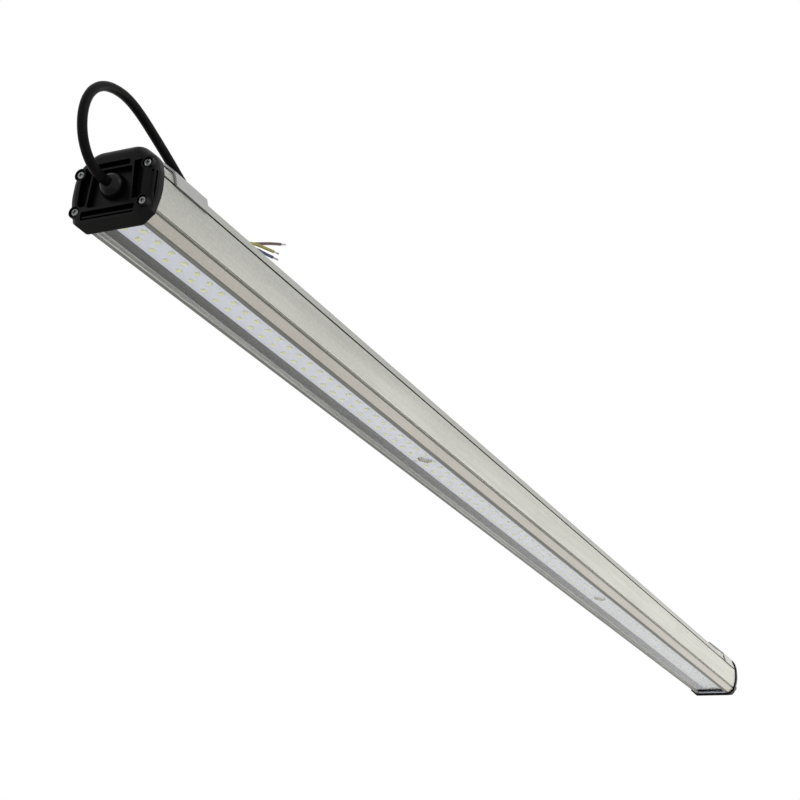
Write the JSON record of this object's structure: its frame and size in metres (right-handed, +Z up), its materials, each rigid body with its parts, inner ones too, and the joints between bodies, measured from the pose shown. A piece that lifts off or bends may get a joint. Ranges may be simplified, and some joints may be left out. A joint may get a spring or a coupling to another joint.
{
  "type": "led linear light",
  "caption": "Long ceiling light: grey extruded body, boards of small lamps behind a clear cover, black screwed end caps, clip-on brackets and a looped supply cord.",
  "frame": {"origin": "at the ceiling, midway between the two bracket holes, on the brackets' top faces", "axes": "+X along the light from its cord end to its blind end, +Z up towards the ceiling"},
  "size_m": [1.5429, 0.0696, 0.1009],
  "materials": {
    "anodised": "matte anodised extrusion",
    "clear": "clear flat plastic cover",
    "board": "white solder mask",
    "lamp": "yellow phosphor in a white package",
    "cap": "black moulded plastic, satin",
    "seal": "black sealing rubber",
    "zinc": "bright zinc plating",
    "bracket": "plain metal sheet",
    "sheath": "black cord sheath",
    "brown_core": "brown core insulation",
    "earth_core": "yellow and green core insulation",
    "blue_core": "blue core insulation",
    "tinned": "tinned wire",
    "link_wire": "insulated link wire",
    "driver_case": "white driver case",
    "terminal": "moulded terminal block"
  },
  "bodies": {
    "root": {"board_link_1": "link_wire", "board_link_2": "link_wire", "bracket_blind_end": "bracket", "bracket_cord_end": "bracket", "cable_boot": "seal", "cap_screws_blind_end": "zinc", "cap_screws_cord_end": "zinc", "clear_cover": "clear", "cord_tail": "sheath", "core_blue": "blue_core", "core_brown": "brown_core", "core_earth": "earth_core", "driver": "driver_case", "driver_screws": "zinc", "earth_lead": "earth_core", "earth_screw": "zinc", "end_cap_blind": "cap", "end_cap_cord": "cap", "extrusion": "anodised", "gasket_blind_end": "seal", "gasket_cord_end": "seal", "inner_cores": "link_wire", "lamp_leads": "link_wire", "led_board_1": "board", "led_board_2": "board", "led_board_3": "board", "led_lamps_1": "lamp", "led_lamps_2": "lamp", "led_lamps_3": "lamp", "mains_leads": "link_wire", "supply_cord": "sheath", "terminal_block": "terminal", "tip_blue": "tinned", "tip_brown": "tinned", "tip_earth": "tinned"}
  },
  "joints": []
}
